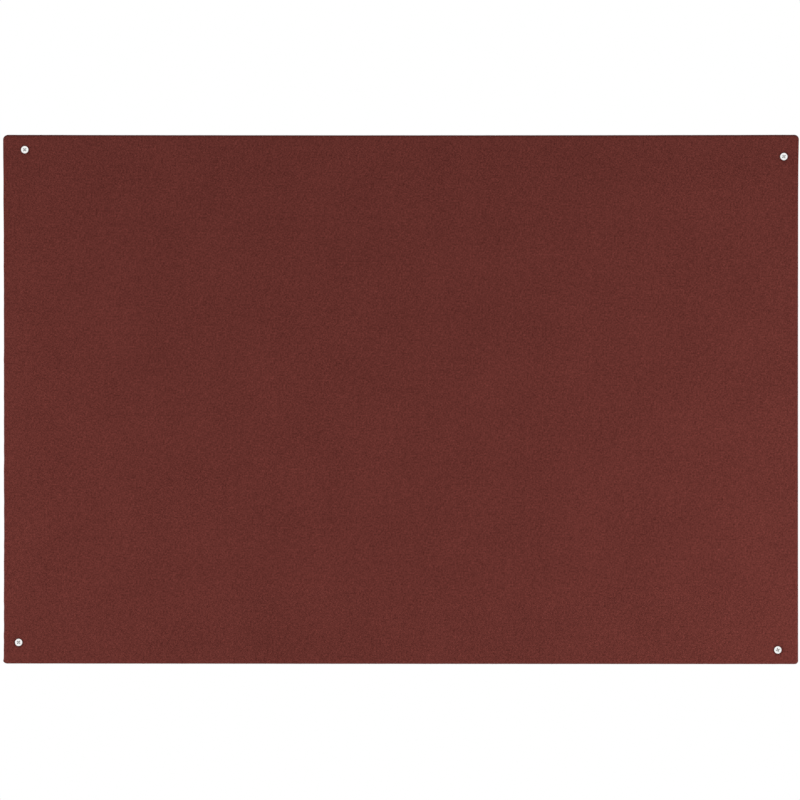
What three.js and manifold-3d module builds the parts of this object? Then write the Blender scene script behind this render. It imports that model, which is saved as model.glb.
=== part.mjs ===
// Felt bulletin board, to be screwed to a wall. A softboard core is wrapped in wool felt, whose edges are
// folded on to the back and stapled, and a hardboard panel backs the core inside the folded edges.
// Millimetres. Seen from the front, +X is right and +Z is up. The front faces -Y and the wall is y = 0.

import * as THREE from "three";
import { mergeVertices } from "three/addons/utils/BufferGeometryUtils.js";
import Module from "manifold-3d";

const wasm = await Module();
wasm.setup();

// Board: its size over the felt, and its layers from the wall to the front
const boardWidth = 900;
const boardHeight = 600;
const backingThickness = 3;
const coreThickness = 9;
const feltThickness = 1.8;
const glueThickness = 0.2;
const coreEdgeRadius = 0.8;
const backingCornerRadius = 2;

// Felt flaps on the back: their width, the gap to the backing panel and the mitred slit at each corner
const flapWidth = 30;
const flapGap = 1;
const mitreWidth = 1;

// The board's corners, round from the top right: the core's corner radius, the distance of the screw from
// the board's side and from its top or bottom, and the turn of its recess in degrees. One jig, turned a
// quarter at each corner, set the screws' places, so the two distances change over.
const boardCorners = [
  { name: "top_right", coreRadius: 3.4, fromSide: 16.1, fromEnd: 24.7, recessTurn: 38 },
  { name: "top_left", coreRadius: 3.7, fromSide: 23.7, fromEnd: 16.9, recessTurn: 45 },
  { name: "bottom_left", coreRadius: 2, fromSide: 16.8, fromEnd: 24.8, recessTurn: 49 },
  { name: "bottom_right", coreRadius: 1.8, fromSide: 22.9, fromEnd: 16.2, recessTurn: 17 },
];

// Screws
const screwLength = 45;
const threadDiameter = 4.5;
const shankDiameter = 3.3;
const shankLength = 15;
const tipLength = 6;
const headDiameter = 8.3;
const headRimHeight = 0.4;
const headAbove = 0.3;
const recessSpan = 4.6;
const recessWingWidth = 1.2;
const recessDepth = 2.3;
const recessFloorShare = 0.6;

// The dimple that each screw's head presses into the felt
const dimpleRadius = 9;
const dimpleDepth = 0.5;

// Wall plugs: a slotted nylon sleeve round each screw, with barbs, fins and a rim that rests on the wall
const plugLength = 30;
const plugWall = 0.95;
const plugRimWidth = 1;
const plugRimHeight = 0.8;
const plugNeckLength = 7;
const plugBarbDepth = 0.35;
const plugBarbCount = 4;
const plugNoseLength = 5;
const plugSlotWidth = 0.9;
const plugFinHeight = 0.9;
const plugFinWidth = 0.8;

// Staples: flat wire, bent to a crown and two pointed legs
const stapleCrown = 11.4;
const stapleLength = 8;
const wireThickness = 0.5;
const wireWidth = 0.75;
const stapleBendRadius = 0.7;
const stapleEndDistance = 62;
const stapleInsetShare = 0.62;
const stapleTiltDegrees = 3.5;
const stapleCountLong = 9;
const stapleCountShort = 6;

// Clearance round whatever passes through a hole, and how far a cut runs past what it cuts
const fitClearance = 0.3;
const cutOverrun = 1;

// Facets
const cornerSegments = 5;
const edgeSegments = 3;
const bendSegments = 2;
const screwSegments = 24;
const plugSegments = 16;

// Planes that the layers give, from the wall to the front
const wrapThickness = feltThickness + glueThickness;
const coreBackY = -(backingThickness + glueThickness);
const flapBackY = coreBackY + wrapThickness;
const flapFrontY = flapBackY - feltThickness;
const coreFrontY = coreBackY - coreThickness;
const feltFrontY = coreFrontY - wrapThickness;
const headTopY = feltFrontY - headAbove;

// Radii that the screws and plugs share
const headRadius = headDiameter / 2;
const threadRadius = threadDiameter / 2;
const shankRadius = shankDiameter / 2;
const boreRadius = threadRadius + fitClearance;
const plugRadius = boreRadius + plugWall;
const plugRimRadius = plugRadius + plugRimWidth;

// The corners, with the side that each is on and its screw's place from the board's middle
const corners = boardCorners.map((corner) => {
  const sideX = corner.name.endsWith("left") ? -1 : 1;
  const sideZ = corner.name.startsWith("bottom") ? -1 : 1;
  const x = sideX * (boardWidth / 2 - corner.fromSide);
  const z = sideZ * (boardHeight / 2 - corner.fromEnd);
  return { ...corner, sideX, sideZ, x, z };
});

// How far the core's front and back edges are rounded, which its smallest corner limits
const edgeRadius = Math.min(coreEdgeRadius, ...corners.map(({ coreRadius }) => coreRadius / 2));

// The staples' four rows: each runs along its flap, and a row on an upright flap is turned a quarter
const rowX = boardWidth / 2 - flapWidth * stapleInsetShare;
const rowZ = boardHeight / 2 - flapWidth * stapleInsetShare;
const rowHalfLong = boardWidth / 2 - stapleEndDistance;
const rowHalfShort = boardHeight / 2 - stapleEndDistance;
const stapleRows = [
  { name: "top", count: stapleCountLong, half: rowHalfLong, upright: false, offset: rowZ },
  { name: "bottom", count: stapleCountLong, half: rowHalfLong, upright: false, offset: -rowZ },
  { name: "left", count: stapleCountShort, half: rowHalfShort, upright: true, offset: -rowX },
  { name: "right", count: stapleCountShort, half: rowHalfShort, upright: true, offset: rowX },
];

// A closed geometry as a solid that can be cut. Facets that a pole or a seam closes up are left out.
function toSolid(geometry) {
  const bare = geometry.clone();
  bare.deleteAttribute("normal");
  bare.deleteAttribute("uv");
  const merged = mergeVertices(bare);
  const index = merged.index.array;
  const kept = [];
  for (let i = 0; i < index.length; i += 3) {
    const [a, b, c] = [index[i], index[i + 1], index[i + 2]];
    if (a !== b && b !== c && c !== a) kept.push(a, b, c);
  }
  return new wasm.Manifold(
    new wasm.Mesh({
      numProp: 3,
      vertProperties: merged.attributes.position.array,
      triVerts: Uint32Array.from(kept),
    }),
  );
}

// A cut solid as a geometry for a mesh
function toGeometry(solid) {
  const cut = solid.getMesh();
  const geometry = new THREE.BufferGeometry();
  geometry.setAttribute("position", new THREE.BufferAttribute(cut.vertProperties, 3));
  geometry.setIndex(new THREE.BufferAttribute(cut.triVerts, 1));
  geometry.computeVertexNormals();
  return geometry;
}

function named(name, geometry, color, roughness, metalness) {
  const mesh = new THREE.Mesh(geometry, new THREE.MeshStandardMaterial({ color, roughness, metalness }));
  mesh.name = name;
  return mesh;
}

// A sheet parallel to the wall. Its corners have the given radii, and its front and back edges are rounded
// by edge, if that isn't 0.
function sheet(width, height, thickness, radii, edge, backY) {
  const quarter = Math.PI / 2;
  const outline = new THREE.Shape();
  corners.forEach(({ sideX, sideZ }, i) => {
    const x = sideX * (width / 2 - radii[i]);
    const z = sideZ * (height / 2 - radii[i]);
    outline.absarc(x, z, radii[i], i * quarter, (i + 1) * quarter);
  });
  const geometry = new THREE.ExtrudeGeometry(outline, {
    depth: thickness - 2 * edge,
    curveSegments: cornerSegments,
    bevelEnabled: edge > 0,
    bevelThickness: edge,
    bevelSize: edge,
    bevelOffset: -edge,
    bevelSegments: edgeSegments,
  });
  geometry.rotateX(quarter);
  geometry.translate(0, backY - edge, 0);
  return geometry;
}

// A box whose middle is at x, y, z
function box(width, depth, height, x, y, z) {
  return new THREE.BoxGeometry(width, depth, height).translate(x, y, z);
}

// A solid of revolution about the Y axis, from points that are [radius, y]
function turned(points, segments) {
  const profile = points.map(([radius, y]) => new THREE.Vector2(radius, y));
  return new THREE.LatheGeometry(profile, segments);
}

// What a screw and its plug need free: the dimple and the seat of the head, the hole for the thread and the
// room for the rim. The dimple's cone runs on through the felt's face.
function fixingHole() {
  const seatRadius = headRadius + fitClearance;
  const dimpleY = feltFrontY + dimpleDepth;
  const coneSlope = (dimpleRadius - seatRadius) / dimpleDepth;
  const coneRadius = dimpleRadius + coneSlope * (headAbove + cutOverrun);
  const seatY = headTopY + headRimHeight + fitClearance;
  const rimY = -(plugRimHeight + fitClearance);
  const rimRadius = plugRimRadius + fitClearance;
  const profile = [
    [0, headTopY - cutOverrun],
    [coneRadius, headTopY - cutOverrun],
    [seatRadius, dimpleY],
    [seatRadius, seatY],
    [boreRadius, seatY + seatRadius - boreRadius],
    [boreRadius, rimY],
    [rimRadius, rimY],
    [rimRadius, cutOverrun],
    [0, cutOverrun],
  ];
  return turned(profile, screwSegments);
}

// The two holes that a staple's legs make
function stapleHoles() {
  const holeDepth = stapleLength + fitClearance + cutOverrun;
  const holeWidth = wireThickness + 2 * fitClearance;
  const holeHeight = wireWidth + 2 * fitClearance;
  const legX = (stapleCrown - wireThickness) / 2;
  const middleY = cutOverrun - holeDepth / 2;
  return [legX, -legX].map((x) => box(holeWidth, holeDepth, holeHeight, x, middleY, 0));
}

// Each staple's name and place. They are shot by hand, so each is tilted a little, to either side.
function staplePlaces() {
  const crownY = flapBackY + fitClearance + wireThickness;
  const tilt = THREE.MathUtils.degToRad(stapleTiltDegrees);
  const places = [];
  for (const row of stapleRows) {
    for (let i = 0; i < row.count; i += 1) {
      const along = row.half * ((2 * i) / (row.count - 1) - 1);
      const place = new THREE.Object3D();
      place.name = `staple_${row.name}_${i + 1}`;
      place.position.set(row.upright ? row.offset : along, crownY, row.upright ? along : row.offset);
      place.rotation.y = (row.upright ? Math.PI / 2 : 0) + tilt * Math.sin(places.length ** 2);
      place.updateMatrix();
      places.push(place);
    }
  }
  return places;
}

// Every hole that goes through the layers, for the screws and for the staples
function allHoles() {
  const holes = corners.map(({ x, z }) => fixingHole().translate(x, 0, z));
  for (const place of staplePlaces()) {
    for (const hole of stapleHoles()) holes.push(hole.applyMatrix4(place.matrix));
  }
  return holes.map(toSolid).reduce((joined, hole) => joined.add(hole));
}

// The felt: a shell round the core that is open at the back, inside the flaps. A slit parts the flaps at
// each corner, from the open part out to where the felt turns over the edge.
function feltCover(holes) {
  const outerThickness = coreThickness + 2 * wrapThickness;
  const outer = sheet(
    boardWidth,
    boardHeight,
    outerThickness,
    corners.map(({ coreRadius }) => coreRadius + wrapThickness),
    edgeRadius + wrapThickness,
    flapBackY,
  );
  const inner = sheet(
    boardWidth - 2 * feltThickness,
    boardHeight - 2 * feltThickness,
    outerThickness - 2 * feltThickness,
    corners.map(({ coreRadius }) => coreRadius + glueThickness),
    edgeRadius + glueThickness,
    flapFrontY,
  );
  const cutDepth = feltThickness + 2 * cutOverrun;
  const flapMiddleY = (flapBackY + flapFrontY) / 2;
  const openWidth = boardWidth - 2 * flapWidth;
  const openHeight = boardHeight - 2 * flapWidth;
  let felt = toSolid(outer)
    .subtract(toSolid(inner))
    .subtract(toSolid(box(openWidth, cutDepth, openHeight, 0, flapMiddleY, 0)));

  const slitReach = flapWidth - edgeRadius - wrapThickness;
  const slitMiddle = slitReach / 2;
  for (const { sideX, sideZ } of corners) {
    const slit = box(slitReach * Math.SQRT2, cutDepth, mitreWidth, 0, 0, 0);
    slit.rotateY((-sideX * sideZ * Math.PI) / 4);
    const x = sideX * (openWidth / 2 + slitMiddle);
    const z = sideZ * (openHeight / 2 + slitMiddle);
    slit.translate(x, flapMiddleY, z);
    felt = felt.subtract(toSolid(slit));
  }
  return named("felt_cover", toGeometry(felt.subtract(holes)), 0x65312c, 0.98, 0);
}

function softboardCore(holes) {
  const width = boardWidth - 2 * wrapThickness;
  const height = boardHeight - 2 * wrapThickness;
  const radii = corners.map(({ coreRadius }) => coreRadius);
  const whole = sheet(width, height, coreThickness, radii, edgeRadius, coreBackY);
  return named("softboard_core", toGeometry(toSolid(whole).subtract(holes)), 0xa88f6c, 0.95, 0);
}

function backingPanel(holes) {
  const width = boardWidth - 2 * (flapWidth + flapGap);
  const height = boardHeight - 2 * (flapWidth + flapGap);
  const radii = corners.map(() => backingCornerRadius);
  const whole = sheet(width, height, backingThickness, radii, 0, 0);
  return named("backing_panel", toGeometry(toSolid(whole).subtract(holes)), 0x6f4a2c, 0.7, 0);
}

// A countersunk screw. Its cross recess is two tapered wings, cut at right angles to each other.
function screw({ name, x, z, recessTurn }) {
  const neckY = headTopY + headRimHeight + headRadius - shankRadius;
  const threadY = headTopY + shankLength;
  const endY = headTopY + screwLength;
  const profile = [
    [0, headTopY],
    [headRadius, headTopY],
    [headRadius, headTopY + headRimHeight],
    [shankRadius, neckY],
    [shankRadius, threadY],
    [threadRadius, threadY + threadRadius - shankRadius],
    [threadRadius, endY - tipLength],
    [0, endY],
  ];
  let body = toSolid(turned(profile, screwSegments));
  const turn = THREE.MathUtils.degToRad(recessTurn);
  for (const wingTurn of [turn, turn + Math.PI / 2]) {
    body = body.subtract(toSolid(recessWing().rotateY(wingTurn)));
  }
  const mesh = named(`screw_${name}`, toGeometry(body), 0xe2e3e0, 0.3, 0.9);
  mesh.position.set(x, 0, z);
  return mesh;
}

function recessWing() {
  const half = recessSpan / 2;
  const floorHalf = shankRadius * recessFloorShare;
  const outline = new THREE.Shape([
    new THREE.Vector2(-half, headTopY - cutOverrun),
    new THREE.Vector2(half, headTopY - cutOverrun),
    new THREE.Vector2(half, headTopY),
    new THREE.Vector2(floorHalf, headTopY + recessDepth),
    new THREE.Vector2(-floorHalf, headTopY + recessDepth),
    new THREE.Vector2(-half, headTopY),
  ]);
  const wing = new THREE.ExtrudeGeometry(outline, { depth: recessWingWidth, bevelEnabled: false });
  return wing.translate(0, 0, -recessWingWidth / 2);
}

// A wall plug. Its barbs are steep towards the board, so that it holds in its hole, and a slot through both
// walls lets the screw spread it. Two fins on the neck, clear of the slot, keep it from turning.
function wallPlug({ name, x, z }) {
  const valleyRadius = plugRadius - plugBarbDepth;
  const noseRadius = (boreRadius + plugRadius) / 2;
  const barbPitch = (plugLength - plugNeckLength - plugNoseLength) / plugBarbCount;
  const profile = [
    [boreRadius, -plugRimHeight],
    [plugRimRadius, -plugRimHeight],
    [plugRimRadius, 0],
    [plugRadius, 0],
    [plugRadius, plugNeckLength],
  ];
  for (let i = 1; i <= plugBarbCount; i += 1) {
    const barbY = plugNeckLength + i * barbPitch;
    profile.push([valleyRadius, barbY], [plugRadius, barbY]);
  }
  profile.push([noseRadius, plugLength], [boreRadius, plugLength], [boreRadius, -plugRimHeight]);

  const slotLength = plugLength - plugNeckLength + cutOverrun;
  const slotSpan = 2 * (plugRadius + cutOverrun);
  const slot = box(slotSpan, slotLength, plugSlotWidth, 0, plugNeckLength + slotLength / 2, 0);
  const body = toSolid(turned(profile, plugSegments)).add(toSolid(plugFins())).subtract(toSolid(slot));
  const bored = body.subtract(toSolid(plugBore()));
  const mesh = named(`wall_plug_${name}`, toGeometry(bored), 0x9a9c9b, 0.55, 0);
  mesh.position.set(x, 0, z);
  return mesh;
}

// One plate through the neck, whose two sloping edges stand out of it as the fins
function plugFins() {
  const root = plugRadius - plugBarbDepth;
  const crest = plugRadius + plugFinHeight;
  const outline = new THREE.Shape([
    new THREE.Vector2(0, -crest),
    new THREE.Vector2(plugNeckLength, -root),
    new THREE.Vector2(plugNeckLength, root),
    new THREE.Vector2(0, crest),
  ]);
  const plate = new THREE.ExtrudeGeometry(outline, { depth: plugFinWidth, bevelEnabled: false });
  plate.translate(0, 0, -plugFinWidth / 2);
  return plate.rotateY(Math.PI / 2).rotateX(Math.PI / 2);
}

function plugBore() {
  const profile = [
    [0, -plugRimHeight - cutOverrun],
    [boreRadius, -plugRimHeight - cutOverrun],
    [boreRadius, plugLength + cutOverrun],
    [0, plugLength + cutOverrun],
  ];
  return turned(profile, plugSegments);
}

// A staple with its crown along X, its outer face on y = 0 and its legs towards -Y
function stapleGeometry() {
  const half = stapleCrown / 2;
  const bend = Math.min(stapleBendRadius, half);
  const quarter = Math.PI / 2;
  const outline = new THREE.Shape();
  outline.moveTo(-half, -stapleLength);
  outline.absarc(bend - half, -bend, bend, 2 * quarter, quarter, true);
  outline.absarc(half - bend, -bend, bend, quarter, 0, true);
  outline.lineTo(half, -stapleLength);
  outline.lineTo(half - wireThickness, wireThickness - stapleLength);
  outline.lineTo(half - wireThickness, -wireThickness);
  outline.lineTo(wireThickness - half, -wireThickness);
  outline.lineTo(wireThickness - half, wireThickness - stapleLength);
  const wire = { depth: wireWidth, curveSegments: bendSegments, bevelEnabled: false };
  return new THREE.ExtrudeGeometry(outline, wire).translate(0, 0, -wireWidth / 2);
}

function staple(place) {
  const mesh = named(place.name, stapleGeometry(), 0xb9bab8, 0.35, 0.85);
  mesh.position.copy(place.position);
  mesh.rotation.copy(place.rotation);
  return mesh;
}

const holes = allHoles();

const layers = new THREE.Group();
layers.add(feltCover(holes), softboardCore(holes), backingPanel(holes));

const fixings = new THREE.Group();
fixings.add(...corners.map(screw), ...corners.map(wallPlug));

const staples = new THREE.Group();
staples.add(...staplePlaces().map(staple));

const bulletinBoard = new THREE.Group();
bulletinBoard.name = "felt_bulletin_board";
bulletinBoard.add(layers, fixings, staples);

export default bulletinBoard;
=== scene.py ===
"""Looks of a felt bulletin board: needle felt on softboard, a hardboard back, screws, plugs and staples.

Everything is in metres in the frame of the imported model: +X right, +Z up, the felt faces -Y, and the wall
is y = 0.
"""

import math
import random
from functools import partial

import bmesh
import bpy
from mathutils import Matrix, Vector, noise


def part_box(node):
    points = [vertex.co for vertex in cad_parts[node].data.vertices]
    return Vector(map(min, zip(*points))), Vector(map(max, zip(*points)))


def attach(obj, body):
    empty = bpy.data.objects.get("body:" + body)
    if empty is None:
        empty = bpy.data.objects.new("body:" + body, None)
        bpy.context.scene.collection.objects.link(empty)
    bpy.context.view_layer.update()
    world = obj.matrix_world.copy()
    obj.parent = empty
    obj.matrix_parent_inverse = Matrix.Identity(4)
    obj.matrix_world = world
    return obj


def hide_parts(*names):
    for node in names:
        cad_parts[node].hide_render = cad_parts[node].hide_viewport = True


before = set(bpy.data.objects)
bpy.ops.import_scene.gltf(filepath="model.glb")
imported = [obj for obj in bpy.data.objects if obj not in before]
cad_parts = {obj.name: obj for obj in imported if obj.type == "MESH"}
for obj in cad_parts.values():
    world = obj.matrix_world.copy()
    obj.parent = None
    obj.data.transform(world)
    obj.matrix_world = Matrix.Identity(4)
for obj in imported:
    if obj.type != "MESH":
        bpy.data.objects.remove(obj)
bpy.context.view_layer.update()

BODY = "root"
MM = 0.001

# Sizes and places that the frame gives
felt_low, felt_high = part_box("felt_cover")
panel_low, panel_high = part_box("backing_panel")
plug_low, plug_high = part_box("wall_plug_top_left")
HALF_X, HALF_Z = felt_high.x, felt_high.z
FRONT_Y, FLAP_Y = felt_low.y, felt_high.y

SCREWS = {}
for corner in ("top_left", "top_right", "bottom_right", "bottom_left"):
    screw_low, screw_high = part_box("screw_" + corner)
    SCREWS[corner] = ((screw_low + screw_high) / 2).xz
HEAD_TOP_Y, TIP_Y = screw_low.y, screw_high.y

STAPLES = {}
for node in sorted(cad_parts):
    if node.startswith("staple_"):
        staple_low, staple_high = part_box(node)
        STAPLES[node] = ((staple_low + staple_high) / 2).xz

# The felt: its thickness, the radius at which it turns over the edges, and the corners in the front view
FELT = 1.8 * MM
TURN_RADIUS = 2.8 * MM
CORNER_RADII = {
    "top_left": 5.7 * MM,
    "top_right": 5.4 * MM,
    "bottom_right": 3.8 * MM,
    "bottom_left": 4.0 * MM,
}
FLAP_GAP = 1.0 * MM
FLAP_INSET = HALF_X - panel_high.x - FLAP_GAP

# Screws
HEAD_RADIUS = 4.15 * MM
HEAD_RIM = 0.4 * MM
SHANK_RADIUS = 1.65 * MM
SHANK_LENGTH = 15 * MM
ROOT_RADIUS = 1.45 * MM
THREAD_RADIUS = 2.25 * MM
THREAD_PITCH = 2.2 * MM
TIP_LENGTH = 6 * MM
RECESS_SPAN = 4.6 * MM
RECESS_WING = 1.2 * MM
RECESS_DEPTH = 2.3 * MM
RECESS_TURNS = {"top_left": 45, "top_right": 38, "bottom_right": 17, "bottom_left": 49}

# Wall plugs
BORE_RADIUS = THREAD_RADIUS + 0.3 * MM
PLUG_RADIUS = BORE_RADIUS + 0.95 * MM
PLUG_RIM_RADIUS = PLUG_RADIUS + 1.0 * MM
PLUG_RIM_Y, PLUG_END_Y = plug_low.y, plug_high.y
PLUG_NECK = 7 * MM
PLUG_NOSE = 5 * MM
PLUG_BARBS = 4
PLUG_BARB_DEPTH = 0.35 * MM
PLUG_SLOT = 0.9 * MM
PLUG_FIN = 0.9 * MM
PLUG_FIN_WIDTH = 0.8 * MM
PLUG_SEGMENTS = 40


def mixed(a, b, share):
    return a + (b - a) * share


def smooth(value, low, high):
    """0 up to low, 1 from high on, and a soft step between them."""
    share = min(max((value - low) / (high - low), 0.0), 1.0)
    return share * share * (3 - 2 * share)


def bell(distance, width):
    """1 at no distance, falling softly to nearly 0 at twice the width."""
    return math.exp(-((distance / width) ** 2))


def bumps(x, y, z, size, seed=0):
    """Soft noise from -1 to 1, with bumps of about that size."""
    return noise.noise(Vector((x / size + 17.3 * seed, y / size, z / size - 9.1 * seed)))


# Shaders


class Field:
    """A socket that is written into sums and products as a number is."""

    def __init__(self, nodes, socket):
        self.nodes = nodes
        self.socket = socket

    def math(self, operation, *values):
        return self.nodes.node("ShaderNodeMath", {"operation": operation}, dict(enumerate(values)))

    def __add__(self, other):
        return self.math("ADD", self, other)

    __radd__ = __add__

    def __sub__(self, other):
        return self.math("SUBTRACT", self, other)

    def __rsub__(self, other):
        return self.math("SUBTRACT", other, self)

    def __mul__(self, other):
        return self.math("MULTIPLY", self, other)

    __rmul__ = __mul__

    def __truediv__(self, other):
        return self.math("DIVIDE", self, other)

    def __pow__(self, other):
        return self.math("POWER", self, other)

    def __abs__(self):
        return self.math("ABSOLUTE", self)

    def sine(self):
        return self.math("SINE", self)

    def at_least(self, other):
        return self.math("MAXIMUM", self, other)

    def at_most(self, other):
        return self.math("MINIMUM", self, other)

    def between(self, low, high):
        return self.at_least(low).at_most(high)


class Nodes:
    """The nodes of a material or of the world."""

    def __init__(self, tree):
        self.tree = tree

    def node(self, kind, settings=None, sockets=None, output=0):
        made = self.tree.nodes.new(kind)
        for name, value in (settings or {}).items():
            setattr(made, name, value)
        for key, value in (sockets or {}).items():
            self.join(value, made.inputs[key])
        return Field(self, made.outputs[output])

    def join(self, value, socket):
        if isinstance(value, Field):
            self.tree.links.new(value.socket, socket)
        else:
            socket.default_value = value


class Finish(Nodes):
    """A material: a Principled shader with some constant sockets, and the nodes that vary the others.

    Patterns lie in the plane of X and Z. Their coordinates are the object's, or an attribute of the mesh.
    """

    def __init__(self, name, coordinates=None, **constants):
        self.material = bpy.data.materials.new(name)
        self.material.use_nodes = True
        super().__init__(self.material.node_tree)
        self.shader = self.tree.nodes["Principled BSDF"]
        for socket, value in constants.items():
            self.shader.inputs[socket.replace("_", " ")].default_value = value
        if coordinates:
            self.coordinates = self.attribute(coordinates, "Vector")
        else:
            self.coordinates = self.node("ShaderNodeTexCoord", output="Object")

    def drive(self, **sockets):
        for name, value in sockets.items():
            self.join(value, self.shader.inputs[name.replace("_", " ")])

    def attribute(self, name, output="Fac"):
        return self.node("ShaderNodeAttribute", {"attribute_name": name}, output=output)

    def along(self, axis):
        return self.node("ShaderNodeSeparateXYZ", sockets={"Vector": self.coordinates}, output=axis)

    def grains(self, size, turn=0.0, detail=2.0, roughness=0.5, place=None, output=0):
        """Noise from 0 to 1. size is its largest spots': one length, or three along axes turned about Y."""
        sizes = (size, size, size) if isinstance(size, float) else size
        mapped = {"Vector": place or self.coordinates, "Rotation": (0, turn, 0), "Scale": sizes}
        sockets = {
            "Vector": self.node("ShaderNodeMapping", {"vector_type": "TEXTURE"}, mapped),
            "Scale": 1.0,
            "Detail": detail,
            "Roughness": roughness,
        }
        return self.node("ShaderNodeTexNoise", sockets=sockets, output=output)

    def noise(self, size, **options):
        """The same about zero, from -0.5 to 0.5."""
        return self.grains(size, **options) - 0.5

    def bent(self, size, reach):
        """The coordinates, pushed about by up to half of reach, in waves of that size."""
        push = self.node(
            "ShaderNodeVectorMath",
            {"operation": "SUBTRACT"},
            {0: self.grains(size, output="Color"), 1: (0.5, 0.5, 0.5)},
        )
        sockets = {0: push, 1: (reach, reach, reach), 2: self.coordinates}
        return self.node("ShaderNodeVectorMath", {"operation": "MULTIPLY_ADD"}, sockets)

    def mat(self, length, width, turns, place):
        """Threads of that length and width that cross at the given turns, with the highest on top."""
        top = None
        for turn in turns:
            layer = self.noise((length, width, width), turn=turn, detail=1.0, place=place)
            top = top.at_least(layer) if top else layer
        return top

    def strays(self, size, width, turn, place):
        """1 along a few long thin threads, and 0 between them."""
        off_line = abs(self.noise(size, turn=turn, detail=0.0, place=place))
        return 1 - (off_line / width).at_most(1.0)

    def mix(self, factor, first, second):
        """A colour between two colours, at a factor from 0 to 1."""
        sockets = {0: factor, 6: first, 7: second}
        return self.node("ShaderNodeMix", {"data_type": "RGBA"}, sockets, output=2)

    def bump(self, height, distance, strength=1.0):
        sockets = {"Height": height, "Distance": distance, "Strength": strength}
        return self.node("ShaderNodeBump", sockets=sockets)


FELT_DEEP = (0.0315, 0.0060, 0.0047, 1.0)
FELT_PALE = (0.241, 0.0572, 0.0468, 1.0)
STRAND_PALE = (0.205, 0.057, 0.048, 1.0)
SOFTBOARD_DEEP = (0.22, 0.14, 0.075, 1.0)
SOFTBOARD_PALE = (0.56, 0.40, 0.225, 1.0)
HARDBOARD_DEEP = (0.050, 0.020, 0.007, 1.0)
HARDBOARD_PALE = (0.270, 0.118, 0.043, 1.0)
ZINC_DULL = (0.86, 0.87, 0.87, 1.0)
ZINC_BRIGHT = (1.0, 1.0, 0.98, 1.0)
# The dark grey in the screws' recesses: soiling together with painted shade.
ZINC_GRIME_AND_SHADE = (0.20, 0.195, 0.18, 1.0)
WIRE_DULL = (0.38, 0.39, 0.39, 1.0)
WIRE_BRIGHT = (0.66, 0.66, 0.65, 1.0)
NYLON_DEEP = (0.27, 0.28, 0.285, 1.0)
NYLON_PALE = (0.37, 0.38, 0.38, 1.0)

# The cell of the lattice of needle marks in the felt
NEEDLE_CELL_X = 11.8 * MM
NEEDLE_CELL_Z = 11.2 * MM


def felt_finish():
    """Needle felt: a mat of fine fibres over small clumps, faint rows of needle marks and a soft mottle.

    It follows the cloth through the mesh's attribute cloth. Its colour is darker where the felt is pressed:
    painted shade in the dips round the screw heads, and pressed felt at the staples and along the cut edge.
    """
    felt = Finish("red_felt", "cloth", Roughness=0.95, Specular_IOR_Level=0.02)
    bent = felt.bent(4.0 * MM, 3.0 * MM)
    mat = felt.mat(3.0 * MM, 0.26 * MM, (0.2, 0.85, 1.5, 2.2, 2.8), bent) - 0.13
    strays = felt.strays((14 * MM, 2 * MM, 2.0 * MM), 0.02, 0.5, bent)
    strays = strays.at_least(felt.strays((12 * MM, 2 * MM, 1.7 * MM), 0.02, 1.9, bent))
    clumps = felt.noise(1.9 * MM, roughness=0.55)
    drift = felt.noise(7 * MM)
    mottle = felt.noise(60 * MM, detail=3.0)

    # The needle marks lie on a lattice. Its strongest rows lean, and others cross them more weakly.
    turn_x, turn_z = 2 * math.pi / NEEDLE_CELL_X, 2 * math.pi / NEEDLE_CELL_Z
    x, z = felt.along("X"), felt.along("Z")
    leaning = (x * (2 * turn_x) - z * turn_z).sine()
    crossing = (x * turn_x + z * (2 * turn_z) + 1.0).sine()
    marks = (leaning + 0.5 * crossing) * (0.5 + drift)

    # The colour follows the same noise as the bump below. It is the felt's own fibre tone, together with
    # painted shade in the relief's hollows and painted light on its tops.
    tone = 0.5 + 0.9 * clumps + 0.86 * mat + 0.1 * strays + 0.03 * marks + 0.24 * drift + 0.15 * mottle
    # Painted shade round the screw heads, where the felt dips to them. At the staples and the cut edge it
    # is darker pressed felt.
    tone = tone - 0.24 * felt.attribute("press_shade")
    relief = 0.9 * clumps + 0.9 * mat + 0.12 * strays + 0.05 * marks
    felt.drive(
        Base_Color=felt.mix(tone.between(0.0, 1.0), FELT_DEEP, FELT_PALE),
        Normal=felt.bump(relief, 0.45 * MM, 0.8),
    )
    return felt.material


def strand_finish():
    """Single fibres of the felt, each a little lighter or darker than the next."""
    strands = Finish("felt_strands", Roughness=0.8, Specular_IOR_Level=0.15)
    tone = 0.5 + 1.5 * strands.noise(2.5 * MM, detail=1.0)
    strands.drive(Base_Color=strands.mix(tone.between(0.0, 1.0), FELT_DEEP, STRAND_PALE))
    return strands.material


def softboard_finish():
    """Pressed wood fibre: pale brown, with short coarse fibres."""
    board = Finish("softboard_fibre", Roughness=0.95, Specular_IOR_Level=0.1)
    fibres = board.mat(4.0 * MM, 0.5 * MM, (0.1, 1.0, 2.2), board.bent(4.0 * MM, 3.0 * MM)) - 0.1
    flecks = board.noise(1.6 * MM, detail=4.0, roughness=0.7)
    tone = 0.5 + 0.9 * fibres + 0.8 * flecks
    board.drive(
        Base_Color=board.mix(tone.between(0.0, 1.0), SOFTBOARD_DEEP, SOFTBOARD_PALE),
        Normal=board.bump(fibres + flecks, 0.5 * MM),
    )
    return board.material


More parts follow.
